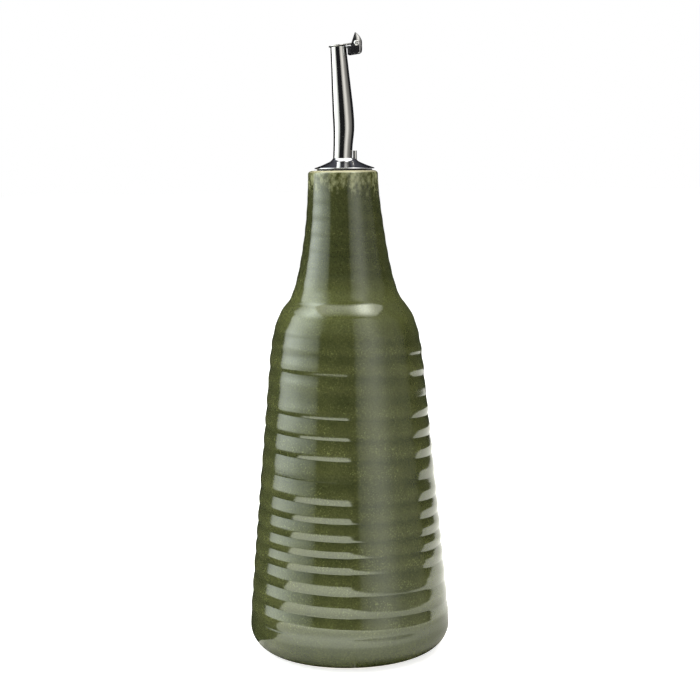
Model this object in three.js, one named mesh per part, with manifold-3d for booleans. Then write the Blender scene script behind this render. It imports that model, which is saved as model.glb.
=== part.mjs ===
// A hand-thrown stoneware oil bottle with a steel pourer.
// Millimetres, +Z up. The origin is the centre of the base, on the bottle's axis.
// The spout leans towards -X and its flap is hinged on the +X side. The front is -Y.

import * as THREE from 'three';
import { mergeVertices } from 'three/addons/utils/BufferGeometryUtils.js';
import Module from 'manifold-3d';

const wasm = await Module();
wasm.setup();

const { degToRad, smoothstep } = THREE.MathUtils;

// The bottle's outline: a rounded foot, a tapering body, a shoulder and a neck.
// Each meeting point of its curves has a radius, a height, the wall's inward lean there,
// and the lengths over which the curves below and above it hold that lean.
const BASE_FLAT_RADIUS = 32.8;
const FOOT = { radius: 46.75, height: 12.5, lean: degToRad(1.3), above: 11 };
const SHOULDER = { radius: 35.75, height: 134.5, lean: degToRad(4.8), below: 8, above: 16.7 };
const NECK_BASE = { radius: 26.75, height: 164, lean: degToRad(42.7), below: 7.5, above: 8.7 };
const NECK_TOP = { radius: 16.1, height: 222.8, lean: 0, below: 14 };
const RIM_ROUND_WIDTH = 2.2;
const RIM_ROUND_HEIGHT = 1.6;
const BOTTLE_HEIGHT = NECK_TOP.height + RIM_ROUND_HEIGHT;
const SOCKET_RADIUS = 12.3;
const SOCKET_DEPTH = 26;

// The neck wanders a little towards -X at its top, as thrown necks do.
const NECK_DRIFT = -0.4;
const NECK_DRIFT_FROM = 195;
const NECK_DRIFT_TO = 222;

// The thrower's fingers left one long groove that runs round the wall as a left-handed helix.
// Each pair is a height on the front and the number of turns of the groove up to it.
const GROOVE_TURNS = [[16, 0], [45.3, 3], [59.5, 5], [75.6, 7], [95.3, 9], [141, 14], [223, 25]];
const GROOVE_FRONT = degToRad(-82);
// The crest's share of the way up from one pass of the groove to the next, by height.
const GROOVE_CREST = [[20, 0.5], [60, 0.48], [100, 0.42], [135, 0.4], [224, 0.4]];
const SWELL_OUT_POWER = 1.7;
const SWELL_BACK_POWER = 1.15;
const BODY_RELIEF = 0.5;
const NECK_RELIEF = 0.16;
const RELIEF_BOTTOM = [15, 21];
const RELIEF_SHOULDER = [134, 156];
const RELIEF_TOP = [205, 219];

// The rubber stopper and the steel flange sit on the rim, a little off the neck's centre.
const POURER_X = 0.35;
const COLLAR_RADIUS = 12.75;
const COLLAR_THICKNESS = 0.65;
const PLUG_RADIUS = 9.9;
const PLUG_RIB_RADIUS = 10.9;
const PLUG_RIB_COUNT = 4;
const PLUG_LENGTH = 24;
const STACK_GAP = 0.05;
const FLANGE_RADIUS = 13.75;
const FLANGE_BOTTOM = BOTTLE_HEIGHT + COLLAR_THICKNESS + 2 * STACK_GAP;
const FLANGE_EDGE = 0.45;
const FLANGE_TOP = 230;
const FLANGE_TOP_RADIUS = 5.15;
const FIT_GAP = 0.15;

// The spout is a tube along a gently bent line. Each station is a height, the line's x and the tube's radius.
const SPOUT_STATIONS = [
  [229.2, -0.5, 4.36],
  [236, -0.15, 4.42],
  [243.5, 0.3, 4.8],
  [251, 0.04, 4.8],
  [262, -0.62, 4.38],
  [272.5, -1.25, 3.92],
  [280.45, -1.72, 3.66],
];
const SPOUT_WALL = 0.5;
const SPOUT_BORE_DEPTH = 18;

const VENT_X = 5.25;
const VENT_RADIUS = 0.92;
const VENT_BORE_RADIUS = 0.45;
const VENT_TOP = 233.4;
const VENT_SINK = 1.3;
const VENT_BORE_DEPTH = 2.5;

// The hinge: the pin's centre, and the parts that turn on it or hold it.
const PIN_X = 7.15;
const PIN_Z = 281.85;
const PIN_RADIUS = 0.7;
const PIN_HEAD_RADIUS = 1.2;
const PIN_HEAD_HEIGHT = 0.55;
const BRACKET_HALF_WIDTH = 3.15;
const BRACKET_SLOT_HALF_WIDTH = 2.45;
const BRACKET_HOLE_RADIUS = 0.85;
const BRACKET_FOOT_HALF_WIDTH = 1.3;
const BRACKET_WEB_TOP = -2.15; // low enough for the tab to pass over when the flap is open
const FLAP_HALF_WIDTH = 2.15;
const FLAP_HOLE_RADIUS = 0.92;
const FLAP_TILT = degToRad(7);
const TAB_ROUND_X = -1.2; // where the tab's back begins to round, from the pin
const TAB_ROUND_DEPTH = 3.25;
const LID_RADIUS = 4.4;
const LID_THICKNESS = 0.55;
const LID_GAP = 0.27;
const TAB_SLOT_HALF_WIDTH = 1.3;

const ROUND = { bottle: 40, collar: 28, flange: 32, spout: 24, vent: 12, pin: 16 };
const SPOUT_STEPS = 14;

// Revolves an outline of [radius, height] points round the Z axis.
function lathe(points, segments) {
  const outline = points.map(([radius, height]) => new THREE.Vector2(radius, height));
  const geometry = new THREE.LatheGeometry(outline, segments);
  geometry.rotateX(Math.PI / 2);
  return geometry;
}

// Extrudes an outline drawn in the XZ plane to both sides of the plane y = 0.
function slab(shape, halfWidth) {
  const geometry = new THREE.ExtrudeGeometry(shape, {
    depth: 2 * halfWidth,
    bevelEnabled: false,
    curveSegments: 6,
  });
  geometry.translate(0, 0, -halfWidth);
  geometry.rotateX(Math.PI / 2);
  return geometry;
}

function boxBetween([x0, y0, z0], [x1, y1, z1]) {
  const geometry = new THREE.BoxGeometry(x1 - x0, y1 - y0, z1 - z0);
  geometry.translate((x0 + x1) / 2, (y0 + y1) / 2, (z0 + z1) / 2);
  return geometry;
}

// A long cylinder along Y through the pin's centre, for drilling.
function crossCylinder(radius) {
  return new THREE.CylinderGeometry(radius, radius, 10, ROUND.pin);
}

// Turns a closed geometry into a solid for cutting and joining.
function solid(geometry) {
  const bare = geometry.clone();
  bare.deleteAttribute('normal');
  bare.deleteAttribute('uv');
  const merged = mergeVertices(bare, 1e-4);
  const corners = merged.index.array;
  const kept = [];
  for (let i = 0; i < corners.length; i += 3) {
    const [a, b, c] = [corners[i], corners[i + 1], corners[i + 2]];
    if (a !== b && b !== c && c !== a) kept.push(a, b, c);
  }
  return new wasm.Manifold(new wasm.Mesh({
    numProp: 3,
    vertProperties: Float32Array.from(merged.attributes.position.array),
    triVerts: Uint32Array.from(kept),
  }));
}

function geometryOf(body) {
  const mesh = body.getMesh();
  const geometry = new THREE.BufferGeometry();
  geometry.setAttribute('position', new THREE.BufferAttribute(mesh.vertProperties, 3));
  geometry.setIndex(new THREE.BufferAttribute(mesh.triVerts, 1));
  geometry.computeVertexNormals();
  return geometry;
}

// Moves every vertex of a geometry by a function of its place.
function reshape(geometry, move) {
  const position = geometry.attributes.position;
  const point = new THREE.Vector3();
  for (let i = 0; i < position.count; i++) {
    point.fromBufferAttribute(position, i);
    move(point);
    position.setXYZ(i, point.x, point.y, point.z);
  }
  geometry.computeVertexNormals();
  return geometry;
}

function named(name, geometry, color, roughness, metalness) {
  const mesh = new THREE.Mesh(geometry, new THREE.MeshStandardMaterial({ color, roughness, metalness }));
  mesh.name = name;
  return mesh;
}

// Linear interpolation in a list of stations sorted by their first value.
function interpolate(stations, at, column = 1) {
  let i = 1;
  while (i < stations.length - 1 && stations[i][0] < at) i++;
  const [low, high] = [stations[i - 1], stations[i]];
  const share = (at - low[0]) / (high[0] - low[0]);
  return low[column] + share * (high[column] - low[column]);
}

// One curve of the bottle's outline, from one meeting point up to the next.
function wallCurve(from, to) {
  const start = new THREE.Vector2(from.radius, from.height);
  const end = new THREE.Vector2(to.radius, to.height);
  const leave = new THREE.Vector2(-Math.sin(from.lean), Math.cos(from.lean)).multiplyScalar(from.above);
  const arrive = new THREE.Vector2(-Math.sin(to.lean), Math.cos(to.lean)).multiplyScalar(to.below);
  return new THREE.CubicBezierCurve(start, start.clone().add(leave), end.clone().sub(arrive), end);
}

function bottleOutline() {
  const footRound = new THREE.EllipseCurve(
    BASE_FLAT_RADIUS, FOOT.height, FOOT.radius - BASE_FLAT_RADIUS, FOOT.height, -Math.PI / 2, 0,
  );
  const rimRound = new THREE.EllipseCurve(
    NECK_TOP.radius - RIM_ROUND_WIDTH, NECK_TOP.height, RIM_ROUND_WIDTH, RIM_ROUND_HEIGHT, 0, Math.PI / 2,
  );
  const outside = [
    ...footRound.getPoints(6),
    ...wallCurve(FOOT, SHOULDER).getSpacedPoints(54).slice(1),
    ...wallCurve(SHOULDER, NECK_BASE).getSpacedPoints(12).slice(1),
    ...wallCurve(NECK_BASE, NECK_TOP).getSpacedPoints(16).slice(1),
    ...rimRound.getPoints(4).slice(1),
  ];
  const socketFloor = BOTTLE_HEIGHT - SOCKET_DEPTH;
  return [
    [0, 0],
    ...outside.map((point) => [point.x, point.y]),
    [SOCKET_RADIUS, BOTTLE_HEIGHT],
    [SOCKET_RADIUS, socketFloor],
    [0, socketFloor],
  ];
}

// The wall's swell between two passes of the groove: out to its crest above one, back in to the next.
function ringSwell(share, crest) {
  if (share < crest) return 1 - (1 - share / crest) ** SWELL_OUT_POWER;
  return 1 - ((share - crest) / (1 - crest)) ** SWELL_BACK_POWER;
}

function reliefDepth(height) {
  const rise = smoothstep(height, ...RELIEF_BOTTOM);
  const neck = smoothstep(height, ...RELIEF_SHOULDER);
  const fall = 1 - smoothstep(height, ...RELIEF_TOP);
  return rise * fall * THREE.MathUtils.lerp(BODY_RELIEF, NECK_RELIEF, neck);
}

function bottle() {
  const geometry = lathe(bottleOutline(), ROUND.bottle);
  reshape(geometry, (point) => {
    const radius = Math.hypot(point.x, point.y);
    if (radius > SOCKET_RADIUS + 1) {
      const turn = (Math.atan2(point.y, point.x) - GROOVE_FRONT) / (2 * Math.PI);
      const phase = interpolate(GROOVE_TURNS, point.z) + turn;
      const crest = interpolate(GROOVE_CREST, Math.max(point.z, GROOVE_CREST[0][0]));
      const swell = ringSwell(phase - Math.floor(phase), crest) - 0.5;
      const scale = 1 + reliefDepth(point.z) * swell / radius;
      point.x *= scale;
      point.y *= scale;
    }
    point.x += NECK_DRIFT * smoothstep(point.z, NECK_DRIFT_FROM, NECK_DRIFT_TO);
  });
  return named('bottle', geometry, 0x4c5230, 0.12, 0);
}

// A rubber stopper: the collar on the rim and the ribbed plug in the neck.
function stopper() {
  const bottom = BOTTLE_HEIGHT + STACK_GAP;
  const top = bottom + COLLAR_THICKNESS;
  const ribPitch = PLUG_LENGTH / (PLUG_RIB_COUNT + 0.5);
  const outline = [[0, bottom - PLUG_LENGTH], [PLUG_RADIUS - 0.6, bottom - PLUG_LENGTH]];
  for (let i = 0; i < PLUG_RIB_COUNT; i++) {
    const ribHeight = bottom - PLUG_LENGTH + (i + 0.75) * ribPitch;
    outline.push([PLUG_RADIUS, ribHeight - 0.9]);
    outline.push([PLUG_RIB_RADIUS, ribHeight]);
    outline.push([PLUG_RADIUS, ribHeight + 0.5]);
  }
  outline.push([PLUG_RADIUS, bottom], [COLLAR_RADIUS, bottom], [COLLAR_RADIUS, top], [0, top]);
  const geometry = lathe(outline, ROUND.collar);
  geometry.translate(POURER_X, 0, 0);
  return named('stopper', geometry, 0x161616, 0.6, 0);
}

// The spout's centre line and radius at a height.
const spoutLine = new THREE.SplineCurve(
  SPOUT_STATIONS.map(([height, x]) => new THREE.Vector2(height, x)),
);
const spoutGirth = new THREE.SplineCurve(
  SPOUT_STATIONS.map(([height, , radius]) => new THREE.Vector2(height, radius)),
);

// The share of the spout's line that lies below a height.
function spoutShareAt(height) {
  const count = SPOUT_STATIONS.length - 1;
  return interpolate(SPOUT_STATIONS.map((station, i) => [station[0], i / count]), height);
}

// Bends an upright tube, whose heights run from 0 to 1 of the spout, onto the spout's line.
function bendToSpout(geometry) {
  return reshape(geometry, (point) => {
    const share = THREE.MathUtils.clamp(point.z, 0, 1);
    const centre = spoutLine.getPoint(share);
    const tangent = spoutLine.getTangent(share);
    const side = point.x;
    point.x = centre.y + side * tangent.x;
    point.z = centre.x - side * tangent.y;
  });
}

function spoutOutside(margin) {
  const outline = [];
  for (let i = 0; i <= SPOUT_STEPS; i++) {
    const share = i / SPOUT_STEPS;
    outline.push([spoutGirth.getPoint(share).y + margin, share]);
  }
  return outline;
}

// The spout's outside as a solid, grown by a margin, for cutting what fits round it.
function spoutEnvelope(margin) {
  const outline = [[0, 0], ...spoutOutside(margin), [0, 1]];
  return bendToSpout(lathe(outline, ROUND.spout));
}

function spout() {
  const boreSteps = 4;
  const boreFloor = spoutShareAt(SPOUT_STATIONS.at(-1)[0] - SPOUT_BORE_DEPTH);
  const outline = [[0, 0], ...spoutOutside(0)];
  for (let i = 0; i <= boreSteps; i++) {
    const share = THREE.MathUtils.lerp(1, boreFloor, i / boreSteps);
    outline.push([spoutGirth.getPoint(share).y - SPOUT_WALL, share]);
  }
  outline.push([0, boreFloor]);
  const geometry = bendToSpout(lathe(outline, ROUND.spout));
  return named('spout_tube', geometry, 0xb9b9b6, 0.2, 1);
}

// The steel flange: a thin rim, a low cone and a short flare, with seats for the spout and the vent.
function flange() {
  const cone = new THREE.SplineCurve([
    new THREE.Vector2(FLANGE_RADIUS, FLANGE_BOTTOM + FLANGE_EDGE),
    new THREE.Vector2(12.1, 226.15),
    new THREE.Vector2(10, 226.95),
    new THREE.Vector2(8.7, 227.5),
    new THREE.Vector2(6.4, 228.6),
    new THREE.Vector2(FLANGE_TOP_RADIUS, FLANGE_TOP),
  ]);
  const outline = [
    [0, FLANGE_BOTTOM],
    [FLANGE_RADIUS, FLANGE_BOTTOM],
    ...cone.getPoints(12).map((point) => [point.x, point.y]),
    [0, FLANGE_TOP],
  ];
  const plate = lathe(outline, ROUND.flange);
  plate.translate(POURER_X, 0, 0);
  const ventSeat = new THREE.CylinderGeometry(VENT_RADIUS + FIT_GAP, VENT_RADIUS + FIT_GAP, 6, ROUND.vent);
  ventSeat.rotateX(Math.PI / 2);
  ventSeat.translate(VENT_X, 0, FLANGE_TOP - VENT_SINK - FIT_GAP + 3);
  const spoutSeat = spoutEnvelope(FIT_GAP);
  spoutSeat.translate(0, 0, -FIT_GAP);
  const body = solid(plate).subtract(solid(ventSeat)).subtract(solid(spoutSeat));
  return named('pourer_flange', geometryOf(body), 0xa6a8aa, 0.22, 1);
}

// A short open pipe that lets air in while the oil runs out.
function vent() {
  const outline = [
    [0, FLANGE_TOP - VENT_SINK],
    [VENT_RADIUS, FLANGE_TOP - VENT_SINK],
    [VENT_RADIUS, VENT_TOP],
    [VENT_BORE_RADIUS, VENT_TOP],
    [VENT_BORE_RADIUS, VENT_TOP - VENT_BORE_DEPTH],
    [0, VENT_TOP - VENT_BORE_DEPTH],
  ];
  const geometry = lathe(outline, ROUND.vent);
  geometry.translate(VENT_X, 0, 0);
  return named('air_vent', geometry, 0xb0b0ae, 0.25, 1);
}

// The bracket beside the spout's mouth: a folded box, open above, whose two ears hold the pin.
// Its outline is drawn round the pin's centre.
function bracket() {
  const cheeks = new THREE.Shape();
  cheeks.moveTo(-4.35, -1.3);
  cheeks.lineTo(-4.2, -5.2);
  cheeks.lineTo(0.1, -4.65);
  cheeks.quadraticCurveTo(1.55, -4.4, 1.65, -2.9);
  cheeks.lineTo(1.75, -1.7);
  cheeks.quadraticCurveTo(1.7, -0.4, 1.35, 0.5);
  cheeks.quadraticCurveTo(0.95, 1.4, 0, 1.4);
  cheeks.quadraticCurveTo(-1.4, 1.4, -1.45, 0);
  cheeks.quadraticCurveTo(-1.6, -1.25, -2.7, -1.3);
  cheeks.closePath();
  const inside = new THREE.Shape();
  inside.moveTo(-3.75, 3);
  inside.lineTo(-3.63, -4.55);
  inside.lineTo(0.1, -4.05);
  inside.quadraticCurveTo(0.95, -3.85, 1.05, -2.9);
  inside.lineTo(1.15, BRACKET_WEB_TOP);
  inside.lineTo(4, BRACKET_WEB_TOP);
  inside.lineTo(4, 3);
  const foot = boxBetween([-5.4, -BRACKET_FOOT_HALF_WIDTH, -2.1], [-4, BRACKET_FOOT_HALF_WIDTH, -1.4]);
  const spoutCut = spoutEnvelope(FIT_GAP);
  spoutCut.translate(-PIN_X, 0, -PIN_Z);
  const body = solid(slab(cheeks, BRACKET_HALF_WIDTH))
    .add(solid(foot))
    .subtract(solid(slab(inside, BRACKET_SLOT_HALF_WIDTH)))
    .subtract(solid(crossCylinder(BRACKET_HOLE_RADIUS)))
    .subtract(solid(spoutCut));
  const mesh = named('hinge_bracket', geometryOf(body), 0x9c9c9a, 0.28, 1);
  mesh.position.set(PIN_X, 0, PIN_Z);
  return mesh;
}

function pin() {
  const inner = BRACKET_HALF_WIDTH + STACK_GAP;
  const outer = inner + PIN_HEAD_HEIGHT;
  const outline = [
    [0, -outer],
    [PIN_HEAD_RADIUS * 0.75, -outer],
    [PIN_HEAD_RADIUS, -outer + 0.25],
    [PIN_HEAD_RADIUS, -inner],
    [PIN_RADIUS, -inner],
    [PIN_RADIUS, inner],
    [PIN_HEAD_RADIUS, inner],
    [PIN_HEAD_RADIUS, outer - 0.25],
    [PIN_HEAD_RADIUS * 0.75, outer],
    [0, outer],
  ];
  const geometry = lathe(outline, ROUND.pin);
  geometry.rotateX(Math.PI / 2);
  const mesh = named('hinge_pin', geometry, 0xd8d8d6, 0.25, 1);
  mesh.position.set(PIN_X, 0, PIN_Z);
  return mesh;
}

// The flap: a lid on the mouth, an arm to the hinge and a thumb tab that stands up behind it.
// It is drawn closed, round the pin's centre.
function flap() {
  const mouth = spoutLine.getPoint(1);
  const lidX = mouth.y - PIN_X;
  const lidZ = mouth.x - PIN_Z;
  const lid = new THREE.CylinderGeometry(LID_RADIUS, LID_RADIUS, LID_THICKNESS, ROUND.spout);
  lid.rotateX(Math.PI / 2);
  lid.translate(0, 0, LID_GAP + LID_THICKNESS / 2);
  const arm = boxBetween(
    [0, -FLAP_HALF_WIDTH, LID_GAP],
    [-lidX - 0.4, FLAP_HALF_WIDTH, LID_GAP + LID_THICKNESS],
  );
  for (const piece of [lid, arm]) {
    piece.rotateY(-FLAP_TILT);
    piece.translate(lidX, 0, lidZ);
  }
  const tab = new THREE.Shape();
  tab.moveTo(-2.95, -1);
  tab.lineTo(-1.05, 4.5);
  tab.quadraticCurveTo(-0.9, 4.9, -0.7, 4.8);
  tab.quadraticCurveTo(1.75, 2.6, 2.05, 0.6);
  tab.lineTo(2.05, -0.7);
  tab.quadraticCurveTo(1.4, -1.7, 0, -1.7);
  tab.quadraticCurveTo(-1.4, -1.7, -2.95, -1);
  const tabSlot = new THREE.Shape();
  tabSlot.moveTo(-3, 1.55);
  tabSlot.lineTo(0.8, 1.55);
  tabSlot.quadraticCurveTo(0.5, 2.5, -0.4, 3.5);
  tabSlot.lineTo(-3, 3.5);
  const round = new THREE.CylinderGeometry(1, 1, 10, ROUND.spout);
  round.rotateX(Math.PI / 2);
  round.scale(TAB_ROUND_DEPTH, FLAP_HALF_WIDTH, 1);
  round.translate(TAB_ROUND_X, 0, 0);
  const flatSide = boxBetween([-5, -FLAP_HALF_WIDTH, -5], [TAB_ROUND_X, FLAP_HALF_WIDTH, 5]);
  const plan = solid(round).add(solid(flatSide));
  const body = solid(slab(tab, FLAP_HALF_WIDTH))
    .intersect(plan)
    .subtract(solid(slab(tabSlot, TAB_SLOT_HALF_WIDTH)))
    .add(solid(arm))
    .add(solid(lid))
    .subtract(solid(crossCylinder(FLAP_HOLE_RADIUS)));
  const mesh = named('flap_lid', geometryOf(body), 0xc4c4c2, 0.2, 1);
  mesh.position.set(PIN_X, 0, PIN_Z);
  return mesh;
}

const model = new THREE.Group();
const pourer = new THREE.Group();
pourer.add(stopper(), flange(), spout(), vent(), bracket(), pin(), flap());
model.add(bottle(), pourer);

export default model;
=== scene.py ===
# %% [markdown]
# # A glazed oil bottle with a steel pourer
#
# This lesson dresses a hand-thrown stoneware oil bottle. A green glaze covers it, and a steel spout with a
# small hinged flap is pushed into its neck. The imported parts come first, because they fix every size and
# place. Each piece is then modelled again with the smooth curves and fine edges that a photograph shows.

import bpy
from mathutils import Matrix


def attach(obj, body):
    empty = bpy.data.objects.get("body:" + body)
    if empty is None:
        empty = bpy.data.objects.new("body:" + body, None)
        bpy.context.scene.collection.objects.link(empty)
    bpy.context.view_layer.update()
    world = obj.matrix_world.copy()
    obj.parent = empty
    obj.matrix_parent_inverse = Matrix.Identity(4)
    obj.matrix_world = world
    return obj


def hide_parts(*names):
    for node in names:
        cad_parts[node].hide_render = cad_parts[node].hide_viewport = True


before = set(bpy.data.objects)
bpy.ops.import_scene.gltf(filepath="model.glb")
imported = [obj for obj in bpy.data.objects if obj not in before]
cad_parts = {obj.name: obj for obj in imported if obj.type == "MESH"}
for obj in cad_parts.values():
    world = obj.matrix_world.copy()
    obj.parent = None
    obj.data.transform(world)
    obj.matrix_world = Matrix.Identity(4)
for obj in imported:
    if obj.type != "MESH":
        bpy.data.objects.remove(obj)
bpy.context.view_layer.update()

# %% [markdown]
# ## Units and selections
#
# The outlines are drawn in millimetres, as a maker would note them, and Blender works in metres, so one
# factor turns the first into the second. An operator acts on everything that is selected, so each step
# starts by selecting just the piece or the faces that it is about.

# %% Units and selections
import math

import bpy
import numpy as np
from mathutils import Quaternion, Vector

MM = 0.001
FACING_UP = 0.9  # a face looks up if its normal's height is more than this


def only(piece):
    """Selects one object and nothing else."""
    bpy.ops.object.select_all(action="DESELECT")
    piece.select_set(True)
    bpy.context.view_layer.objects.active = piece


def name_active(name):
    """Names the object that an operator has just added."""
    piece = bpy.context.object
    piece.name = piece.data.name = name
    return piece


def edit_all(piece):
    """Enters edit mode with all of a piece selected."""
    only(piece)
    bpy.ops.object.mode_set(mode="EDIT")
    bpy.ops.mesh.select_all(action="SELECT")


def edit_faces(piece, wanted):
    """Enters edit mode with only the faces selected for which wanted(centre, normal) is true."""
    only(piece)
    bpy.ops.object.mode_set(mode="EDIT")
    bpy.ops.mesh.select_mode(type="FACE")
    bpy.ops.mesh.select_all(action="DESELECT")
    bpy.ops.object.mode_set(mode="OBJECT")
    for face in piece.data.polygons:
        face.select = wanted(piece.matrix_world @ face.center, piece.matrix_world.to_3x3() @ face.normal)
    bpy.ops.object.mode_set(mode="EDIT")


def leave_edit():
    """Goes back to whole objects."""
    bpy.ops.object.mode_set(mode="OBJECT")


def report(piece):
    """Prints what a piece measures."""
    corners = np.array([piece.matrix_world @ vertex.co for vertex in piece.data.vertices]) / MM
    low, high = corners.min(0).round(2), corners.max(0).round(2)
    triangles = sum(len(face.vertices) - 2 for face in piece.data.polygons)
    print(f"{piece.name}: {triangles} triangles, from {low} to {high} mm")


# %% [markdown]
# ## Camera
#
# The photograph looks slightly down on the bottle from about arm's length. The distance, the height and the
# lens follow from how round the foot's edge looks and how the outline narrows. The bottle leans by less than
# a degree in the picture, so the camera is rolled by that much instead of moving the bottle.

# %% Camera
CAMERA_AZIMUTH = math.radians(8)
CAMERA_DISTANCE = 749.3
CAMERA_HEIGHT = 224.8
CAMERA_PITCH = math.radians(6.36)
CAMERA_PAN = math.radians(0.136)
CAMERA_ROLL = math.radians(0.765)
CAMERA_LENS = 83.3


def around(azimuth, radius, height):
    """A point round the bottle. Azimuth 0 is towards the camera, and it grows to the camera's right."""
    turn = CAMERA_AZIMUTH + azimuth
    return Vector((radius * math.sin(turn), -radius * math.cos(turn), height))


camera_data = bpy.data.cameras.new("camera")
camera_data.lens = CAMERA_LENS
camera = bpy.data.objects.new("camera", camera_data)
bpy.context.collection.objects.link(camera)
bpy.context.scene.camera = camera
forward = -around(-CAMERA_PAN, math.cos(CAMERA_PITCH), 0)
forward.z = -math.sin(CAMERA_PITCH)
camera.location = around(0, CAMERA_DISTANCE * MM, CAMERA_HEIGHT * MM)
camera.rotation_mode = "QUATERNION"
camera.rotation_quaternion = Quaternion(forward, CAMERA_ROLL) @ forward.to_track_quat("-Z", "Y")
print("camera at", camera.location[:])

# %% [markdown]
# ## Outlines
#
# A potter's profile, a spun flange and a bent tube are all drawn as smooth curves first. Two kinds of curve
# are enough: a Bezier curve between two points with a direction at each end, and a spline that passes
# through a few stations. Points are then spaced evenly along the curve, so that the mesh rows are even too.

# %% Curves
def bezier(start, leave, arrive, end, count=200):
    """Points of a cubic Bezier curve with its two handles."""
    share = np.linspace(0, 1, count)[:, None]
    start, leave, arrive, end = (np.array(point, float) for point in (start, leave, arrive, end))
    rest = 1 - share
    return rest**3 * start + 3 * rest**2 * share * leave + 3 * rest * share**2 * arrive + share**3 * end


def curve_to(start, pull, end, count=8):
    """Points of a simple bend from start to end, pulled towards one point, without its first point."""
    share = np.linspace(0, 1, count)[1:, None]
    start, pull, end = (np.array(point, float) for point in (start, pull, end))
    return (1 - share) ** 2 * start + 2 * (1 - share) * share * pull + share**2 * end


def quarter_round(centre, half_width, half_height, from_degrees, count):
    """A quarter of an ellipse, turned anticlockwise from an angle."""
    turn = np.radians(np.linspace(from_degrees, from_degrees + 90, count))
    return np.column_stack([centre[0] + half_width * np.cos(turn), centre[1] + half_height * np.sin(turn)])


def evenly(curve, spacing):
    """The same curve with points a given distance apart."""
    steps = np.linalg.norm(np.diff(curve, axis=0), axis=1)
    along = np.concatenate([[0], np.cumsum(steps)])
    at = np.linspace(0, along[-1], round(along[-1] / spacing) + 1)
    return np.column_stack([np.interp(at, along, curve[:, axis]) for axis in (0, 1)])


def spline(stations, share):
    """A smooth curve through rows of values, read at shares from 0 to 1."""
    rows = np.asarray(stations, float)
    at = np.clip(np.atleast_1d(share), 0, 1) * (len(rows) - 1)
    low = np.minimum(at.astype(int), len(rows) - 2)
    part = (at - low)[:, None]
    before, start = rows[np.maximum(low - 1, 0)], rows[low]
    end, after = rows[low + 1], rows[np.minimum(low + 2, len(rows) - 1)]
    leave, arrive = (end - before) / 2, (after - start) / 2
    cubic = 2 * start - 2 * end + leave + arrive
    square = -3 * start + 3 * end - 2 * leave - arrive
    return cubic * part**3 + square * part**2 + leave * part + start


def smoothstep(value, low, high):
    """A share that rises softly from 0 at one value to 1 at another."""
    share = np.clip((value - low) / (high - low), 0, 1)
    return share * share * (3 - 2 * share)


quarter = quarter_round((0, 0), 10, 10, 0, 90)
print("a quarter of a circle of 10 mm has", len(evenly(quarter, 1)), "points when they are 1 mm apart")

# %% [markdown]
# ## Turning an outline
#
# What is round on the real object was turned: the clay on a wheel, the steel flange on a spinning lathe. The
# spin operator does the same. It sweeps a chain of edges round an axis. The first and the last step then lie
# on each other, so they are merged, and the faces are made to point outwards.

# %% Turning
MERGE_WITHIN = 0.002


def chain(name, outline, closed=False):
    """A chain of edges through points drawn in the XZ plane, in millimetres."""
    corners = [(x * MM, 0, z * MM) for x, z in outline]
    edges = [(i, i + 1) for i in range(len(corners) - 1)]
    if closed:
        edges.append((len(corners) - 1, 0))
    mesh = bpy.data.meshes.new(name)
    mesh.from_pydata(corners, edges, [])
    piece = bpy.data.objects.new(name, mesh)
    bpy.context.collection.objects.link(piece)
    return piece


def turned(name, outline, steps, centre_x=0.0):
    """Sweeps an outline of radii and heights round an upright axis."""
    piece = chain(name, [(centre_x + radius, height) for radius, height in outline])
    edit_all(piece)
    bpy.ops.mesh.spin(steps=steps, angle=2 * math.pi, center=(centre_x * MM, 0, 0), axis=(0, 0, 1))
    bpy.ops.mesh.select_all(action="SELECT")
    bpy.ops.mesh.remove_doubles(threshold=MERGE_WITHIN * MM)
    bpy.ops.mesh.normals_make_consistent(inside=False)
    leave_edit()
    return piece


print("vertices closer than", MERGE_WITHIN, "mm are merged")

# %% [markdown]
# ## The bottle's wall
#
# The bottle has a rounded foot, a body that tapers, a soft shoulder and a neck that flares down into it. One
# outline holds them all. Each meeting point gives a radius, a height and the wall's inward lean, and the
# curves leave and reach the point along that lean. The neck is open down to the socket of the stopper. The
# rest is one solid, because nothing of its inside can be seen.

# %% Draw and turn the bottle
BASE_FLAT_RADIUS = 32.8
FOOT = {"radius": 46.75, "height": 12.5, "lean": math.radians(1.3), "above": 11}
SHOULDER = {"radius": 35.75, "height": 134.5, "lean": math.radians(4.8), "below": 8, "above": 16.7}
NECK_BASE = {"radius": 26.75, "height": 164, "lean": math.radians(42.7), "below": 7.5, "above": 8.7}
NECK_TOP = {"radius": 16.1, "height": 222.8, "lean": 0, "below": 14}
RIM_ROUND_WIDTH = 2.2
RIM_ROUND_HEIGHT = 1.6
BOTTLE_HEIGHT = NECK_TOP["height"] + RIM_ROUND_HEIGHT
SOCKET_RADIUS = 12.3
SOCKET_DEPTH = 26
BOTTLE_STEPS = 128
BODY_ROWS = 0.3  # from one row of vertices to the next, close enough for the groove's crest
SHOULDER_ROWS = 0.5
NECK_ROWS = 0.8


def wall(low, high, spacing):
    """One stretch of the wall, from one meeting point up to the next."""
    start = np.array([low["radius"], low["height"]])
    end = np.array([high["radius"], high["height"]])
    leave = start + low["above"] * np.array([-math.sin(low["lean"]), math.cos(low["lean"])])
    arrive = end - high["below"] * np.array([-math.sin(high["lean"]), math.cos(high["lean"])])
    return evenly(bezier(start, leave, arrive, end), spacing)[1:]


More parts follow.
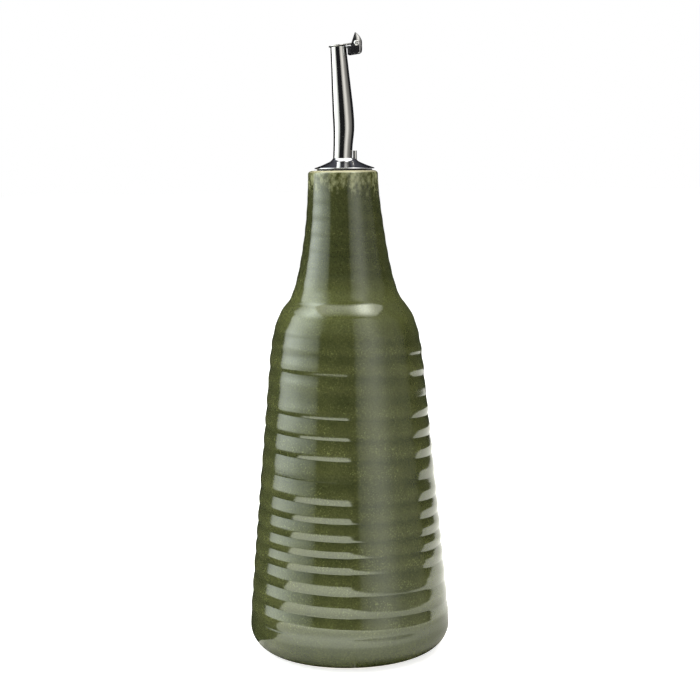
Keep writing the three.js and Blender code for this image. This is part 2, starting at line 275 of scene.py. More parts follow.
foot_width = FOOT["radius"] - BASE_FLAT_RADIUS
socket_floor = BOTTLE_HEIGHT - SOCKET_DEPTH
rim_inside = NECK_TOP["radius"] - RIM_ROUND_WIDTH
bottle_outline = np.concatenate([
    [[0, 0], [16, 0], [30, 0]],
    quarter_round((BASE_FLAT_RADIUS, FOOT["height"]), foot_width, FOOT["height"], -90, 30),
    wall(FOOT, SHOULDER, BODY_ROWS),
    wall(SHOULDER, NECK_BASE, SHOULDER_ROWS),
    wall(NECK_BASE, NECK_TOP, NECK_ROWS),
    quarter_round((rim_inside, NECK_TOP["height"]), RIM_ROUND_WIDTH, RIM_ROUND_HEIGHT, 0, 12)[1:],
    [[SOCKET_RADIUS, BOTTLE_HEIGHT], [SOCKET_RADIUS, socket_floor], [0, socket_floor]],
])
bottle = turned("glazed_bottle", bottle_outline, BOTTLE_STEPS)
report(bottle)

# %% [markdown]
# ## Throwing grooves
#
# While the wheel turned, the thrower's fingers rose along the wall and left one long groove. It runs round
# the bottle as a screw thread does, seven to ten millimetres higher at each turn. Above the groove the wall
# swells out quickly and comes back slowly, and towards the shoulder the swells become even waves. This could
# be a bump in the material, but the outline and the reflections both show it, so the vertices themselves are
# moved. First comes how far each vertex is along the groove, and how far the wall swells there.

# %% Follow the groove
GROOVE_TURNS = [[16, 0], [45.3, 3], [59.5, 5], [75.6, 7], [95.3, 9], [141, 14], [223, 25]]
GROOVE_FRONT = math.radians(-82)
GROOVE_CREST = [[20, 0.5], [60, 0.48], [100, 0.42], [135, 0.4]]  # its share of the way up, by height
SWELL_OUT_POWER = 1.7
SWELL_BACK_POWER = 1.15
SOFT_FROM = (120, 138)  # above these heights the swells are even waves, with no sharp groove

corners = np.empty(len(bottle.data.vertices) * 3)
bottle.data.vertices.foreach_get("co", corners)
corners = corners.reshape(-1, 3) / MM
radius = np.hypot(corners[:, 0], corners[:, 1])
height = corners[:, 2]
turn = (np.arctan2(corners[:, 1], corners[:, 0]) - GROOVE_FRONT) / (2 * math.pi)
heights, turns = np.array(GROOVE_TURNS).T
phase = np.interp(height, heights, turns) + turn
share = phase - np.floor(phase)
crest = np.interp(height, *np.array(GROOVE_CREST).T)
rising = 1 - (1 - np.clip(share / crest, 0, 1)) ** SWELL_OUT_POWER
falling = 1 - np.clip((share - crest) / (1 - crest), 0, 1) ** SWELL_BACK_POWER
swell = np.where(share < crest, rising, falling)
wave = 0.5 - 0.5 * np.cos(math.pi * np.where(share < crest, share / crest, 1 + (share - crest) / (1 - crest)))
swell += smoothstep(height, *SOFT_FROM) * (wave - swell)
print("the wall swells on average to", round(float(swell.mean()), 2), "of its full relief")

# %% [markdown]
# The fingers didn't press evenly. The relief is deeper on the body than on the neck, changes a little along
# the groove, and is faint on two turns. Each vertex moves along its radius by that depth. Its share of the
# swell is kept as an attribute, because the glaze runs thin on what stands out. The neck's top also sits a
# little off the axis, as a soft clay neck does once it is lifted off the wheel.

# %% Press the groove in
BODY_RELIEF = 0.5
NECK_RELIEF = 0.16
RELIEF_BOTTOM = (15, 21)
RELIEF_SHOULDER = (134, 156)
RELIEF_TOP = (205, 219)
PRESS_CHANGE = 0.12
PRESS_WAVES = (3.1, 1.7)  # how fast the pressure changes along the groove, and how fast it shifts round
LIGHT_TURNS = ((8.15, 0.5), (12.1, 0.65))  # turns on which the fingers pressed less, and how much less
LIGHT_TURN_SPREAD = 0.45
NECK_DRIFT = -0.4
NECK_DRIFT_HEIGHTS = (195, 222)
OUTSIDE_FROM = SOCKET_RADIUS + 1  # the socket keeps its turned shape
BOTTLE_SMOOTH = math.radians(50)  # edges that turn by less than this are shaded smooth

press = np.sin(PRESS_WAVES[0] * phase) * np.sin(2 * math.pi * turn + PRESS_WAVES[1] * phase)
press = 1 + PRESS_CHANGE * press
for light_turn, less in LIGHT_TURNS:
    press -= less * np.exp(-(((phase - light_turn) / LIGHT_TURN_SPREAD) ** 2))
depth = BODY_RELIEF + (NECK_RELIEF - BODY_RELIEF) * smoothstep(height, *RELIEF_SHOULDER)
depth *= smoothstep(height, *RELIEF_BOTTOM) * (1 - smoothstep(height, *RELIEF_TOP)) * press
outside = radius > OUTSIDE_FROM
grown = np.where(outside, 1 + depth * (swell - 0.5) / np.maximum(radius, 1), 1)
corners[:, 0] *= grown
corners[:, 1] *= grown
corners[:, 0] += NECK_DRIFT * smoothstep(height, *NECK_DRIFT_HEIGHTS)
bottle.data.vertices.foreach_set("co", (corners * MM).ravel())
ring_height = bottle.data.attributes.new("ring_height", "FLOAT", "POINT")
ring_height.data.foreach_set("value", np.where(outside, swell * depth / BODY_RELIEF, 0))
bottle.data.update()
only(bottle)
bpy.ops.object.shade_smooth_by_angle(angle=BOTTLE_SMOOTH)
report(bottle)

# %% [markdown]
# ## The rubber stopper
#
# A stopper of black rubber holds the pourer in the neck. Only its thin collar shows, as a dark line between
# the steel and the glaze. The ribbed plug below it is hidden, and is kept because it is what grips the neck.
# It is turned from one outline, and the bevel modifier rounds its moulded edges.

# %% Turn the stopper
POURER_X = 0.35
COLLAR_RADIUS = 12.75
COLLAR_THICKNESS = 0.65
PLUG_RADIUS = 9.9
PLUG_TIP_RADIUS = 9.3
PLUG_RIB_RADIUS = 10.9
PLUG_RIB_COUNT = 4
PLUG_RIB_BELOW = 0.9
PLUG_RIB_ABOVE = 0.5
PLUG_LENGTH = 24
STACK_GAP = 0.05
STOPPER_STEPS = 96
STOPPER_ROUND = 0.12
ROUND_ABOVE = math.radians(30)  # edges that turn by more than this get rounded
SMALL_SMOOTH = math.radians(40)  # the same for the small pieces


def round_edges(piece, width, segments=2, angle=ROUND_ABOVE):
    """Rounds every edge sharper than an angle, by a width in millimetres, and shades the piece."""
    only(piece)
    bevel = piece.modifiers.new("round", "BEVEL")
    bevel.width = width * MM
    bevel.segments = segments
    bevel.limit_method = "ANGLE"
    bevel.angle_limit = angle
    bpy.ops.object.modifier_apply(modifier=bevel.name)
    bpy.ops.object.shade_smooth_by_angle(angle=SMALL_SMOOTH)


collar_bottom = BOTTLE_HEIGHT + STACK_GAP
collar_top = collar_bottom + COLLAR_THICKNESS
plug_tip = collar_bottom - PLUG_LENGTH
rib_pitch = PLUG_LENGTH / (PLUG_RIB_COUNT + 0.5)
stopper_outline = [(0, plug_tip), (PLUG_TIP_RADIUS, plug_tip)]
for rib in range(PLUG_RIB_COUNT):
    rib_height = plug_tip + (rib + 0.75) * rib_pitch
    stopper_outline += [
        (PLUG_RADIUS, rib_height - PLUG_RIB_BELOW),
        (PLUG_RIB_RADIUS, rib_height),
        (PLUG_RADIUS, rib_height + PLUG_RIB_ABOVE),
    ]
stopper_outline += [(PLUG_RADIUS, collar_bottom), (COLLAR_RADIUS, collar_bottom)]
stopper_outline += [(COLLAR_RADIUS, collar_top), (0, collar_top)]
stopper = turned("rubber_stopper", stopper_outline, STOPPER_STEPS, POURER_X)
round_edges(stopper, STOPPER_ROUND)
report(stopper)

# %% [markdown]
# ## The steel flange
#
# The flange was pressed from thin sheet: a narrow rim, a low cone and a short neck that holds the spout. The
# cone is a spline through six stations. Its rim has the small radius of a rolled edge, which is what
# catches the thin white line in the photograph.

# %% Turn the flange
FLANGE_RADIUS = 13.75
FLANGE_BOTTOM = BOTTLE_HEIGHT + COLLAR_THICKNESS + 2 * STACK_GAP
FLANGE_EDGE = 0.45
FLANGE_TOP = 230
FLANGE_TOP_RADIUS = 5.15
FLANGE_STEPS = 128
FLANGE_ROUND = 0.14
CONE_POINTS = 33

cone_stations = [
    (FLANGE_RADIUS, FLANGE_BOTTOM + FLANGE_EDGE),
    (12.1, 226.15), (10, 226.95), (8.7, 227.5), (6.4, 228.6),
    (FLANGE_TOP_RADIUS, FLANGE_TOP),
]
flange_outline = np.concatenate([
    [(0, FLANGE_BOTTOM), (FLANGE_RADIUS, FLANGE_BOTTOM)],
    spline(cone_stations, np.linspace(0, 1, CONE_POINTS)),
    [(0, FLANGE_TOP)],
])
flange = turned("steel_flange", flange_outline, FLANGE_STEPS, POURER_X)
round_edges(flange, FLANGE_ROUND, segments=3)
report(flange)

# %% [markdown]
# ## The spout
#
# The spout is a drawn steel tube, widest in its lower third and bent a little to one side. A straight tube
# with a wall is easy to model by inset and extrude, so the tube is made straight first, with its bore. Then
# each ring of vertices is moved to the bent centre line and given the girth of its height.

# %% Make the straight tube
SPOUT_STATIONS = [
    [229.2, -0.5, 4.36], [236, -0.15, 4.42], [243.5, 0.3, 4.8], [251, 0.04, 4.8],
    [262, -0.62, 4.38], [272.5, -1.25, 3.92], [280.45, -1.72, 3.66],
]  # height, sideways place and radius
SPOUT_WALL = 0.5
SPOUT_BORE_DEPTH = 18
SPOUT_BORE_ROWS = 9
SPOUT_GIRTH = 4.4
SPOUT_SIDES = 64
SPOUT_ROWS = 64
SPOUT_ROUND = 0.12
SHARP_ONLY = math.radians(60)  # rounds a tube's mouth, and not the edges along it


def cylinder(name, sides, radius, length, middle, **placing):
    """Adds a cylinder. Its sizes and the place of its middle are in millimetres."""
    bpy.ops.object.select_all(action="DESELECT")
    bpy.ops.mesh.primitive_cylinder_add(
        vertices=sides, radius=radius * MM, depth=length * MM,
        location=[value * MM for value in middle], **placing,
    )
    return name_active(name)


spout_bottom = SPOUT_STATIONS[0][0]
spout_top = SPOUT_STATIONS[-1][0]
spout_length = spout_top - spout_bottom
spout_middle = (0, 0, (spout_top + spout_bottom) / 2)
spout = cylinder("steel_spout", SPOUT_SIDES, SPOUT_GIRTH, spout_length, spout_middle)
bpy.ops.object.transform_apply(location=True)
edit_faces(spout, lambda centre, normal: normal.z > FACING_UP)
bpy.ops.mesh.inset(thickness=SPOUT_WALL * MM)
bore_step = SPOUT_BORE_DEPTH / SPOUT_BORE_ROWS * MM
for _ in range(SPOUT_BORE_ROWS):
    bpy.ops.mesh.extrude_region_move(TRANSFORM_OT_translate={"value": (0, 0, -bore_step)})
bpy.ops.mesh.select_mode(type="EDGE")
bpy.ops.mesh.select_all(action="DESELECT")
leave_edit()
for edge in spout.data.edges:
    low, high = (spout.data.vertices[i].co for i in edge.vertices)
    edge.select = abs(high.z - low.z) > 0.9 * spout_length * MM
bpy.ops.object.mode_set(mode="EDIT")
bpy.ops.mesh.subdivide(number_cuts=SPOUT_ROWS - 1)
leave_edit()
round_edges(spout, SPOUT_ROUND, segments=3, angle=SHARP_ONLY)
report(spout)

# %% [markdown]
# Bending moves vertices only, so the clean rows of the straight tube are kept. A vertex's height says how
# far along the spout it is. There it keeps its distance from the wall's outside, and its ring is set square
# to the centre line.

# %% Bend the tube
SPOUT_STEP = 0.004  # the share of the spout over which its direction is measured


def spout_at(height):
    """For heights along the spout: its centre's height, its x and its radius, and the step ahead there."""
    heights = [station[0] for station in SPOUT_STATIONS]
    share = np.interp(height, heights, np.linspace(0, 1, len(heights)))
    ahead = spline(SPOUT_STATIONS, share + SPOUT_STEP) - spline(SPOUT_STATIONS, share - SPOUT_STEP)
    return spline(SPOUT_STATIONS, share), ahead


corners = np.array([vertex.co for vertex in spout.data.vertices]) / MM
centre, ahead = spout_at(np.clip(corners[:, 2], spout_bottom, spout_top))
ahead = ahead[:, :2] / np.linalg.norm(ahead[:, :2], axis=1)[:, None]
radius = np.hypot(corners[:, 0], corners[:, 1])
grown = (radius + centre[:, 2] - SPOUT_GIRTH) / np.maximum(radius, 0.01)
side = corners[:, 0] * grown
moved = np.column_stack([
    centre[:, 1] + side * ahead[:, 0],
    corners[:, 1] * grown,
    corners[:, 2] - side * ahead[:, 1],
])
spout.data.vertices.foreach_set("co", (moved * MM).ravel())
spout.data.update()
report(spout)

# %% [markdown]
# ## The air pipe
#
# A short pipe beside the spout lets air in while oil runs out. It starts as a cylinder. Its top is inset by
# the wall's thickness and pushed down to make the bore, and the mouth's edges are rounded.

# %% Make the air pipe
VENT_X = 5.25
VENT_RADIUS = 0.92
VENT_BORE_RADIUS = 0.45
VENT_TOP = 233.4
VENT_SINK = 1.3
VENT_BORE_DEPTH = 2.5
VENT_SIDES = 40
VENT_ROUND = 0.1

vent_bottom = FLANGE_TOP - VENT_SINK
vent_middle = (VENT_X, 0, (VENT_TOP + vent_bottom) / 2)
air_pipe = cylinder("air_pipe", VENT_SIDES, VENT_RADIUS, VENT_TOP - vent_bottom, vent_middle)
bpy.ops.object.transform_apply(location=True)
edit_faces(air_pipe, lambda centre, normal: normal.z > FACING_UP)
bpy.ops.mesh.inset(thickness=(VENT_RADIUS - VENT_BORE_RADIUS) * MM)
bpy.ops.mesh.extrude_region_move(TRANSFORM_OT_translate={"value": (0, 0, -VENT_BORE_DEPTH * MM)})
leave_edit()
round_edges(air_pipe, VENT_ROUND, segments=3, angle=SHARP_ONLY)
report(air_pipe)

# %% [markdown]
# ## The hinge box
#
# Beside the spout's mouth sits a small box folded from sheet steel. Its two cheeks hold the hinge rivet and
# the flap turns between them. A folded sheet is easiest to make from a block: an outline is filled, extruded
# across the whole width, and what isn't steel is cut away. Boolean modifiers with the exact solver do this
# well on such small solids. Where two faces lie in one plane they leave vertices that all but touch, and
# merging these keeps the next cut clean. The helpers come first: a slab of any outline, the modifier, a
# drill, and the spout's outside as a solid, so that the box can be cut to fit round it.

# %% Helpers for the hinge
PIN_X = 7.15
PIN_Z = 281.85
FIT_GAP = 0.15
ROOM_FROM = 262
ROOM_ROWS = 12
ROOM_STEPS = 64
ROD_LENGTH = 10
ROD_SIDES = 40


def slab(name, outline, half_width):
    """Fills an outline drawn round the rivet's centre, in the XZ plane, and extrudes it to both sides."""
    piece = chain(name, [(PIN_X + x, PIN_Z + z) for x, z in outline], closed=True)
    edit_all(piece)
    bpy.ops.mesh.edge_face_add()
    bpy.ops.transform.translate(value=(0, -half_width * MM, 0))
    bpy.ops.mesh.extrude_region_move(TRANSFORM_OT_translate={"value": (0, 2 * half_width * MM, 0)})
    bpy.ops.mesh.select_all(action="SELECT")
    bpy.ops.mesh.normals_make_consistent(inside=False)
    leave_edit()
    return piece


def combine(piece, other, operation):
    """Cuts another solid from a piece, or joins it on, and removes the other."""
    only(piece)
    step = piece.modifiers.new("combine", "BOOLEAN")
    step.object = other
    step.operation = operation
    step.solver = "EXACT"
    bpy.ops.object.modifier_apply(modifier=step.name)
    bpy.data.objects.remove(other)
    edit_all(piece)
    bpy.ops.mesh.remove_doubles(threshold=MERGE_WITHIN * MM)
    leave_edit()


def cross_rod(radius):
    """A rod along Y through the rivet's centre, for drilling."""
    return cylinder("rod", ROD_SIDES, radius, ROD_LENGTH, (PIN_X, 0, PIN_Z), rotation=(math.pi / 2, 0, 0))


def spout_room():
    """The spout's outside as a solid, grown by the fit."""
    heights = np.linspace(ROOM_FROM, spout_top, ROOM_ROWS)
    centre, _ = spout_at(heights)
    outline = [(0, heights[0]), *zip(centre[:, 2] + FIT_GAP, heights), (0, heights[-1])]
    solid = turned("room", outline, ROOM_STEPS)
    for vertex in solid.data.vertices:
        vertex.co.x += float(spout_at(vertex.co.z / MM)[0][0, 1]) * MM
    return solid


print("the rivet's centre is", round(PIN_Z - spout_top, 2), "mm above the spout's top")

# %% [markdown]
# Seen from the front, a cheek has a straight lower edge, a rounded corner and an ear round the rivet. Seen
# from above, the sheet is folded round two corners, which an intersection with a rounded plan gives. A small
# foot reaches to the spout. The inside leaves the thickness of the sheet all round and is open at the top.

# %% Fold the hinge box
BRACKET_HALF_WIDTH = 3.15
BRACKET_SLOT_HALF_WIDTH = 2.45
BRACKET_HOLE_RADIUS = 0.85
BRACKET_FOOT_HALF_WIDTH = 1.3
BRACKET_WEB_TOP = -2.15  # low enough for the tab to pass over when the flap is open
BRACKET_FRONT = 1.75
FOLD_RADIUS = 0.5
FOLD_BACK = -6  # past the box's own back, so that only its front is rounded
FOLD_HEIGHT = 8
BRACKET_ROUND = 0.1

cheek_outline = np.concatenate([
    [(-4.35, -1.3), (-4.2, -5.2), (0.1, -4.65)],
    curve_to((0.1, -4.65), (1.55, -4.4), (1.65, -2.9)),
    [(BRACKET_FRONT, -1.7)],
    curve_to((BRACKET_FRONT, -1.7), (1.7, -0.4), (1.35, 0.5)),
    curve_to((1.35, 0.5), (0.95, 1.4), (0, 1.4)),
    curve_to((0, 1.4), (-1.4, 1.4), (-1.45, 0)),
    curve_to((-1.45, 0), (-1.6, -1.25), (-2.7, -1.3)),
])
inside_outline = np.concatenate([
    [(-3.75, 3), (-3.63, -4.55), (0.1, -4.05)],
    curve_to((0.1, -4.05), (0.95, -3.85), (1.05, -2.9)),
    [(1.15, BRACKET_WEB_TOP), (4, BRACKET_WEB_TOP), (4, 3)],
])
foot_outline = [(-5.4, -2.1), (-4, -2.1), (-4, -1.4), (-5.4, -1.4)]
side, side_end = BRACKET_HALF_WIDTH, BRACKET_HALF_WIDTH - FOLD_RADIUS
front, front_end = BRACKET_FRONT, BRACKET_FRONT - FOLD_RADIUS
fold_outline = np.concatenate([
    [(FOLD_BACK, -side), (front_end, -side)],
    curve_to((front_end, -side), (front, -side), (front, -side_end)),
    [(front, side_end)],
    curve_to((front, side_end), (front, side), (front_end, side)),
    [(FOLD_BACK, side)],
])
hinge_box = slab("hinge_box", cheek_outline, BRACKET_HALF_WIDTH)
fold = slab("fold", fold_outline, FOLD_HEIGHT)
edit_faces(fold, lambda centre, normal: True)
bpy.ops.transform.rotate(value=math.pi / 2, orient_axis="X", center_override=(PIN_X * MM, 0, PIN_Z * MM))
leave_edit()
combine(hinge_box, fold, "INTERSECT")
combine(hinge_box, slab("foot", foot_outline, BRACKET_FOOT_HALF_WIDTH), "UNION")
combine(hinge_box, slab("inside", inside_outline, BRACKET_SLOT_HALF_WIDTH), "DIFFERENCE")
combine(hinge_box, cross_rod(BRACKET_HOLE_RADIUS), "DIFFERENCE")
combine(hinge_box, spout_room(), "DIFFERENCE")
round_edges(hinge_box, BRACKET_ROUND)
report(hinge_box)

# %% [markdown]
# ## The rivet
#
# A bright rivet is the hinge pin. Its two heads are low domes with a dimple where the riveting tool pressed.
# One head is drawn, mirrored for the other end and turned with the shank. The rivet is then laid on its side
# by a rotation in edit mode, so that the object itself stays unturned.

# %% Turn the rivet
PIN_RADIUS = 0.7
PIN_HEAD_RADIUS = 1.2
PIN_HEAD_HEIGHT = 0.55
PIN_HEAD_RIM = 0.1
DIMPLE_RADIUS = 0.42
DIMPLE_DEPTH = 0.14
DIMPLE_WALL = 0.08
PIN_STEPS = 48

head_inside = BRACKET_HALF_WIDTH + STACK_GAP
rim_top = (PIN_HEAD_RADIUS, head_inside + PIN_HEAD_RIM)
head_outside = head_inside + PIN_HEAD_HEIGHT
dimple_floor = head_outside - DIMPLE_DEPTH
dimple_edge = (DIMPLE_RADIUS, head_outside)
head_outline = np.concatenate([
    [(PIN_RADIUS, head_inside), (PIN_HEAD_RADIUS, head_inside), rim_top],
    curve_to(rim_top, (PIN_HEAD_RADIUS, head_outside), dimple_edge, 9),
    curve_to(dimple_edge, (DIMPLE_RADIUS - DIMPLE_WALL, dimple_floor), (0, dimple_floor), 6),
])
rivet_outline = np.concatenate([head_outline[::-1] * (1, -1), head_outline])
rivet = turned("hinge_rivet", rivet_outline, PIN_STEPS)
edit_faces(rivet, lambda centre, normal: True)
bpy.ops.transform.rotate(value=math.pi / 2, orient_axis="X", center_override=(0, 0, 0))
bpy.ops.transform.translate(value=(PIN_X * MM, 0, PIN_Z * MM))
leave_edit()
only(rivet)
bpy.ops.object.shade_smooth_by_angle(angle=SMALL_SMOOTH)
report(rivet)

# %% [markdown]
# ## The flap
#
# The flap closes the mouth under its own weight and swings open when the bottle is tilted. It has a round
# lid, a short arm and a thumb tab that stands up between the cheeks. The tab is pressed from sheet: its back
# is round seen from above, and its front, towards the spout, is hollow. So its slab is intersected with a
# rounded plan, and a slot is cut into it.

# %% Make the thumb tab
FLAP_HALF_WIDTH = 2.15
TAB_ROUND_X = -1.2  # where the tab's back begins to round, from the rivet
TAB_ROUND_DEPTH = 3.25
TAB_SLOT_HALF_WIDTH = 1.3
TAB_ROUND = 0.08
FLAP_SIDES = 64

tab_outline = np.concatenate([
    [(-2.95, -1), (-1.05, 4.5)],
    curve_to((-1.05, 4.5), (-0.9, 4.9), (-0.7, 4.8), 6),
    curve_to((-0.7, 4.8), (1.75, 2.6), (2.05, 0.6), 12),
    [(2.05, -0.7)],
    curve_to((2.05, -0.7), (1.4, -1.7), (0, -1.7)),
    curve_to((0, -1.7), (-1.4, -1.7), (-2.95, -1))[:-1],
])
slot_outline = np.concatenate([
    [(-3, 1.55), (0.8, 1.55)],
    curve_to((0.8, 1.55), (0.5, 2.5), (-0.4, 3.5)),
    [(-3, 3.5)],
])
round_middle = (PIN_X + TAB_ROUND_X, 0, PIN_Z)
round_scale = (TAB_ROUND_DEPTH, FLAP_HALF_WIDTH, 1)
plan = cylinder("plan", FLAP_SIDES, 1, ROD_LENGTH, round_middle, scale=round_scale)
bpy.ops.object.transform_apply(location=True, scale=True)
flat_side = [(-5, -5), (TAB_ROUND_X, -5), (TAB_ROUND_X, 5), (-5, 5)]
combine(plan, slab("flat_side", flat_side, FLAP_HALF_WIDTH), "UNION")
flap = slab("pouring_flap", tab_outline, FLAP_HALF_WIDTH)
combine(flap, plan, "INTERSECT")
combine(flap, slab("slot", slot_outline, TAB_SLOT_HALF_WIDTH), "DIFFERENCE")
round_edges(flap, TAB_ROUND)
report(flap)

# %% [markdown]
# The lid and its arm lie in one plane that rises towards the rivet. A bevel across the joins would fold over
# itself, so the tab, the arm and the lid each get their round edges first, and are then united and drilled.

# %% Add the arm and the lid
FLAP_HOLE_RADIUS = 0.92
FLAP_TILT = math.radians(7)
ARM_SHORT = 0.4  # by how much the arm stops short of the rivet's centre
LID_RADIUS = 4.4
LID_THICKNESS = 0.55
LID_GAP = 0.27
LID_ROUND = 0.25
FLAP_SMOOTH = math.radians(35)

mouth_x, mouth_z = SPOUT_STATIONS[-1][1], SPOUT_STATIONS[-1][0]


def tilted(distance, height):
    """A point of the lid's tilted plane, from its distance along the arm and its height above the mouth."""
    x = mouth_x + distance * math.cos(FLAP_TILT) - height * math.sin(FLAP_TILT)
    z = mouth_z + distance * math.sin(FLAP_TILT) + height * math.cos(FLAP_TILT)
    return x, z


arm_length = PIN_X - mouth_x - ARM_SHORT
arm_corners = [tilted(0, LID_GAP), tilted(arm_length, LID_GAP)]
arm_corners += [tilted(arm_length, LID_GAP + LID_THICKNESS), tilted(0, LID_GAP + LID_THICKNESS)]
arm = slab("arm", [(x - PIN_X, z - PIN_Z) for x, z in arm_corners], FLAP_HALF_WIDTH)
round_edges(arm, LID_ROUND, segments=4)
combine(flap, arm, "UNION")
lid_x, lid_z = tilted(0, LID_GAP + LID_THICKNESS / 2)
lid_turn = (0, -FLAP_TILT, 0)
lid = cylinder("lid", FLAP_SIDES, LID_RADIUS, LID_THICKNESS, (lid_x, 0, lid_z), rotation=lid_turn)
bpy.ops.object.transform_apply(location=True, rotation=True)
round_edges(lid, LID_ROUND, segments=4)
combine(flap, lid, "UNION")
combine(flap, cross_rod(FLAP_HOLE_RADIUS), "DIFFERENCE")
only(flap)
bpy.ops.object.shade_smooth_by_angle(angle=FLAP_SMOOTH)
report(flap)

# %% [markdown]
# ## Colours and nodes
#
# Colours are noted as they look on a screen, as hex values, and one function turns them into the linear
# numbers that a shader works with. One other function adds a node, sets its values and links its inputs.

# %% Colours and nodes
def linear(hex_colour):
    """A screen colour such as 3A4520 as linear red, green, blue and alpha."""
    screen = [int(hex_colour[i:i + 2], 16) / 255 for i in (0, 2, 4)]
    return tuple(c / 12.92 if c <= 0.04045 else ((c + 0.055) / 1.055) ** 2.4 for c in screen) + (1.0,)


def add(tree, kind, inputs=None, **settings):
    """Adds a node. Settings are its own options. Inputs are values, or the outputs linked to them."""
    new = tree.nodes.new("ShaderNode" + kind)
    for name, value in settings.items():
        setattr(new, name, value)
    for name, value in (inputs or {}).items():
        if isinstance(value, bpy.types.NodeSocket):
            tree.links.new(value, new.inputs[name])
        else:
            new.inputs[name].default_value = value
    return new


def new_material(name):
    """A material with its node tree, its shader and its object coordinates."""
    material = bpy.data.materials.new(name)
    material.use_nodes = True
    tree = material.node_tree
    shader = tree.nodes["Principled BSDF"]
    place = add(tree, "TexCoord").outputs["Object"]
    return material, tree, shader, place


print("half grey on a screen is", round(linear("808080")[0], 3), "of white in light")

# %% [markdown]
# A few kinds of node do nearly all the work in the finishes below. A noise gives unevenness of a chosen size.
# A range turns it, or a height, into a share. A calculation joins two shares, a blend mixes two colours by a
# share, and a bump tilts the light where the relief is too fine to model.

# %% Noise, ranges, blends and bumps
def noise(tree, place, size, detail, roughness=0.5, stretch=None):
    """A noise with spots of a size in millimetres. A stretch below 1 draws them out along that axis."""
    if stretch is not None:
        place = add(tree, "Mapping", {"Vector": place, "Scale": stretch}).outputs["Vector"]
    values = {"Vector": place, "Scale": 1 / (size * MM), "Detail": detail, "Roughness": roughness}
    return add(tree, "TexNoise", values).outputs["Fac"]


def ranged(tree, value, source, target=(0, 1), **settings):
    """Turns values between two ends into values between two others, and stops at the ends."""
    ends = {"From Min": source[0], "From Max": source[1], "To Min": target[0], "To Max": target[1]}
    return add(tree, "MapRange", {"Value": value, **ends}, **settings).outputs["Result"]


def zone(tree, height, ends, target=(0, 1), kind="SMOOTHSTEP"):
    """A share that changes between two heights in millimetres."""
    return ranged(tree, height, [end * MM for end in ends], target, interpolation_type=kind)


def calculate(tree, operation, *values):
    """A calculation with up to three values."""
    return add(tree, "Math", dict(enumerate(values)), operation=operation).outputs[0]


def blend(tree, share, first, second, **settings):
    """Mixes two colours by a share. A colour is a hex value, or another node's output."""
    first, second = (linear(colour) if isinstance(colour, str) else colour for colour in (first, second))
    values = {"Factor": share, "A": first, "B": second}
    return add(tree, "Mix", values, data_type="RGBA", **settings).outputs["Result"]


def bumped(tree, height, strength, depth, under=None):
    """A bump with a depth in millimetres, on top of another one if there is one."""
    values = {"Height": height, "Strength": strength, "Distance": depth * MM}
    if under is not None:
        values["Normal"] = under
    return add(tree, "Bump", values).outputs["Normal"]


print("a noise with spots of 1 mm has the scale", round(1 / MM))

# %% [markdown]
# ## Glaze
#
# The bottle is stoneware under a glossy iron and copper glaze, dipped and fired. The melt pools dark in the
# grooves and runs thin over what stands out, so crests are lighter. The upward-sloping shoulder is painted a
# lighter green as well, which is painted light from the overhead diffuser. The vertices' own share of the
# swell says where the glaze is thin, and soft clouds of some 20 mm add the unevenness of the dip.

# %% Depth of the green, and the shoulder's painted light
GREEN_DEEP = "2F331A"
GREEN_THIN = "434628"
# painted light: the shoulder's lighter green stands in for overhead light on its upward slope
GREEN_SHOULDER_PAINTED_LIGHT = "474B29"
CLOUD_SIZE = 22
# the height in mm where the shoulder's painted light is strongest
SHOULDER_PAINTED_LIGHT_HEIGHT = 163
SHOULDER_PAINTED_LIGHT_REACH = (16, 3)  # painted light is gone past the first distance from there, and full within the second

glaze, tree, shader, place = new_material("glossy green stoneware glaze")
height_above = add(tree, "SeparateXYZ", {0: place}).outputs["Z"]
ring = add(tree, "Attribute", attribute_name="ring_height").outputs["Fac"]
clouds = noise(tree, place, CLOUD_SIZE, detail=4, roughness=0.6)
cloud_share = ranged(tree, clouds, (0.35, 0.65))
crest_share = ranged(tree, ring, (0.1, 0.95))
lightness = calculate(tree, "ADD", cloud_share, crest_share)
lightness = calculate(tree, "MULTIPLY", lightness, 0.5)
green = blend(tree, lightness, GREEN_DEEP, GREEN_THIN)

# painted light: around this height the shoulder is blended to a lighter green
from_painted_light_height = calculate(tree, "SUBTRACT", height_above, SHOULDER_PAINTED_LIGHT_HEIGHT * MM)
from_painted_light_height = calculate(tree, "ABSOLUTE", from_painted_light_height)
shoulder_painted_light = zone(tree, from_painted_light_height, SHOULDER_PAINTED_LIGHT_REACH)
green = blend(tree, shoulder_painted_light, green, GREEN_SHOULDER_PAINTED_LIGHT)
# the second colour printed is the shoulder's painted light
print("the deepest and the thinnest green are", linear(GREEN_DEEP)[:3], linear(GREEN_SHOULDER_PAINTED_LIGHT)[:3])

# %% [markdown]
# Seen close, the glaze is mottled by grains of less than a millimetre, where iron has crystallised. A few of
# them, in patches and most of all on the crests, are bright yellow-green speckles. The same noise drives the
# mottling and the speckles, so that a speckle is always the lightest part of its grain.

# %% Mottling and speckles
SPECKLE_COLOUR = "7C8350"
GRAIN_SIZE = 0.75
PATCH_SIZE = 9
NECK_DARKER = (168, 186)  # over these heights the glaze gets a little thicker

